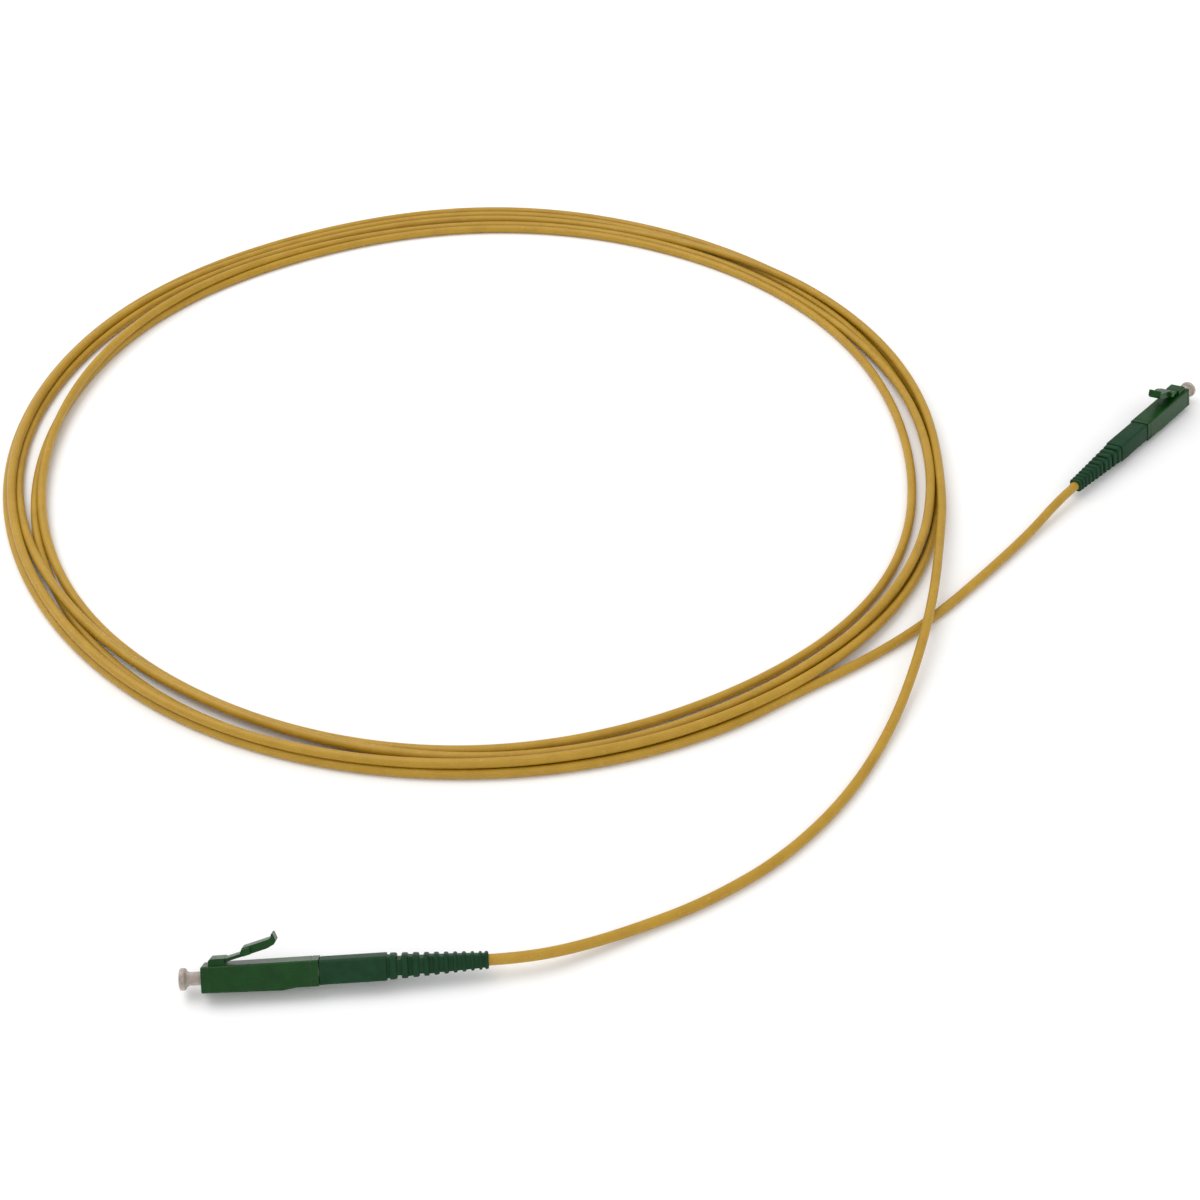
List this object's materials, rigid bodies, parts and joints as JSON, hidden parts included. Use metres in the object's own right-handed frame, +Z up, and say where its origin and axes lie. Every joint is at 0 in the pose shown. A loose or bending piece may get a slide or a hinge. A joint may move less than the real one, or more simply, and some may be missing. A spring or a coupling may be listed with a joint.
{
  "type": "fiber optic patch cord",
  "caption": "Loosely coiled round yellow fibre jumper cable with a green angle-polished latching plug, ribbed boot and dust cap on each end.",
  "frame": {"origin": "on the surface the cord lies on, at the middle of the box round its two plugs", "axes": "+Z up from the surface; +X towards the second plug's side, along the near plug's housing, whose nose points almost along -X; +Y towards the far side of the coil"},
  "size_m": [0.2838, 0.27, 0.0101],
  "materials": {
    "jacket": "yellow low-smoke jacket, soft satin",
    "housing": "dark green moulded plastic, satin",
    "boot": "dark bluish green soft plastic, matte",
    "dust_cap": "milky translucent soft plastic",
    "ferrule": "polished white zirconia ceramic",
    "metal": "nickel-plated turned metal",
    "spring": "bright spring wire",
    "ring": "plated crimp ring",
    "liner": "white thin-wall tube",
    "yarn": "yellow aramid yarn",
    "buffer": "white tight buffer"
  },
  "bodies": {
    "cord": {"plug_housing_a": "housing", "ferrule_spring_a": "spring", "crimp_post_a": "metal", "liner_tube_a": "liner", "aramid_yarn_a": "yarn", "crimp_ring_a": "ring", "jacket_end_a": "jacket", "boot_a": "boot", "plug_housing_b": "housing", "ferrule_spring_b": "spring", "crimp_post_b": "metal", "liner_tube_b": "liner", "aramid_yarn_b": "yarn", "crimp_ring_b": "ring", "jacket_end_b": "jacket", "boot_b": "boot", "cable_tail_a": "jacket", "cable_coil": "jacket", "cable_tail_b": "jacket"},
    "latch_a": {"latch_a": "housing"},
    "ferrule_a": {"ferrule_a": "ferrule", "ferrule_flange_a": "metal", "buffered_fibre_a": "buffer"},
    "dust_cap_a": {"dust_cap_a": "dust_cap"},
    "latch_b": {"latch_b": "housing"},
    "ferrule_b": {"ferrule_b": "ferrule", "ferrule_flange_b": "metal", "buffered_fibre_b": "buffer"},
    "dust_cap_b": {"dust_cap_b": "dust_cap"}
  },
  "joints": [
    {"name": "latch_a_press", "type": "hinge", "parent": "cord", "child": "latch_a", "pos_m": [-0.09999, -0.08446, 0.00554], "axis": [0.0592, -0.7524, 0.6561], "range_deg": [-15, 0], "stiffness_Nm_per_rad": 0.02},
    {"name": "ferrule_a_float", "type": "slide", "parent": "cord", "child": "ferrule_a", "axis": [-0.9969, -0.0785, 0], "range_m": [-0.0008, 0], "stiffness_N_per_m": 200, "deforming": ["ferrule_spring_a"]},
    {"name": "dust_cap_a_pull", "type": "slide", "parent": "cord", "child": "dust_cap_a", "axis": [-0.9969, -0.0785, 0], "range_m": [0, 0.012]},
    {"name": "latch_b_press", "type": "hinge", "parent": "cord", "child": "latch_b", "pos_m": [0.10076, 0.08303, 0.00592], "axis": [-0.7154, 0.6555, -0.2419], "range_deg": [-15, 0], "stiffness_Nm_per_rad": 0.02},
    {"name": "ferrule_b_float", "type": "slide", "parent": "cord", "child": "ferrule_b", "axis": [0.6756, 0.7373, 0], "range_m": [-0.0008, 0], "stiffness_N_per_m": 200, "deforming": ["ferrule_spring_b"]},
    {"name": "dust_cap_b_pull", "type": "slide", "parent": "cord", "child": "dust_cap_b", "axis": [0.6756, 0.7373, 0], "range_m": [0, 0.012]}
  ]
}
